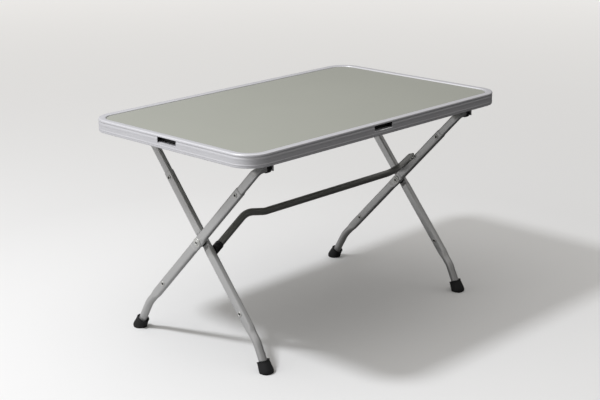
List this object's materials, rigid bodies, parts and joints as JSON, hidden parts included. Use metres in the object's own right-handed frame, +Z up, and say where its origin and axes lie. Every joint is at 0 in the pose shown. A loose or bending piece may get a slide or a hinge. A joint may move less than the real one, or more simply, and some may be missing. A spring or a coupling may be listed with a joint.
{
  "type": "folding table",
  "caption": "Rectangular folding table with a flat panel in a rounded metal rim and crossed tubular legs joined by a bent crossbar.",
  "frame": {"origin": "on the floor under the centre of the top", "axes": "+Z up, X along the top's long side, Y across it; the near legs' feet point to -Y"},
  "size_m": [1.15, 0.71, 0.7],
  "materials": {
    "panel_laminate": "smooth matte grey-green laminate",
    "rim_metal": "satin silver",
    "grey_paint": "satin grey paint",
    "bar_paint": "satin darker grey paint",
    "plated_steel": "zinc plated",
    "black_plastic": "black, moulded",
    "black_rubber": "black, matte"
  },
  "bodies": {
    "top": {"table_panel": "panel_laminate", "rim": "rim_metal", "grip_pocket_front": "black_plastic", "grip_pocket_back": "black_plastic", "grip_pocket_left": "black_plastic", "grip_pocket_right": "black_plastic", "cross_rail_left": "plated_steel", "cross_rail_right": "plated_steel", "rail_screw_left_1": "plated_steel", "rail_screw_left_2": "plated_steel", "rail_screw_left_3": "plated_steel", "rail_screw_left_4": "plated_steel", "rail_screw_right_1": "plated_steel", "rail_screw_right_2": "plated_steel", "rail_screw_right_3": "plated_steel", "rail_screw_right_4": "plated_steel", "leg_bracket_left": "grey_paint", "leg_bracket_right": "grey_paint", "bracket_pin_left": "plated_steel", "bracket_pin_right": "plated_steel", "stub_clip_left": "grey_paint", "stub_clip_right": "grey_paint"},
    "frame_a": {"leg_a_left_lower": "grey_paint", "leg_a_left_upper": "grey_paint", "leg_a_right_lower": "grey_paint", "leg_a_right_upper": "grey_paint", "rivet_a_left_lower": "plated_steel", "rivet_a_left_upper": "plated_steel", "rivet_a_right_lower": "plated_steel", "rivet_a_right_upper": "plated_steel", "foot_cap_a_left": "black_rubber", "foot_cap_a_right": "black_rubber", "pivot_rivet_left": "plated_steel", "pivot_rivet_right": "plated_steel", "pivot_washer_left": "plated_steel", "pivot_washer_right": "plated_steel", "pivot_spacer_left": "black_plastic", "pivot_spacer_right": "black_plastic"},
    "frame_b": {"leg_b_left_lower": "grey_paint", "leg_b_left_upper": "grey_paint", "leg_b_right_lower": "grey_paint", "leg_b_right_upper": "grey_paint", "rivet_b_left_lower": "plated_steel", "rivet_b_left_upper": "plated_steel", "rivet_b_right_lower": "plated_steel", "rivet_b_right_upper": "plated_steel", "foot_cap_b_left": "black_rubber", "foot_cap_b_right": "black_rubber", "stub_bush_left": "black_plastic", "stub_bush_right": "black_plastic", "crossbar": "bar_paint", "crossbar_plug": "black_plastic", "crossbar_rivet_1": "plated_steel", "crossbar_rivet_2": "plated_steel"}
  },
  "joints": [
    {"name": "frame_a_fold", "type": "hinge", "parent": "top", "child": "frame_a", "pos_m": [0, 0.24159, 0.658], "axis": [1, 0, 0], "range_deg": [-45, 0]},
    {"name": "frame_b_fold", "type": "hinge", "parent": "frame_a", "child": "frame_b", "pos_m": [0, -0.0095, 0.3534], "axis": [1, 0, 0], "range_deg": [0, 91.35]}
  ],
  "couplings": [
    {"joint": "frame_b_fold", "follows": "frame_a_fold", "ratio": -2.0289}
  ]
}
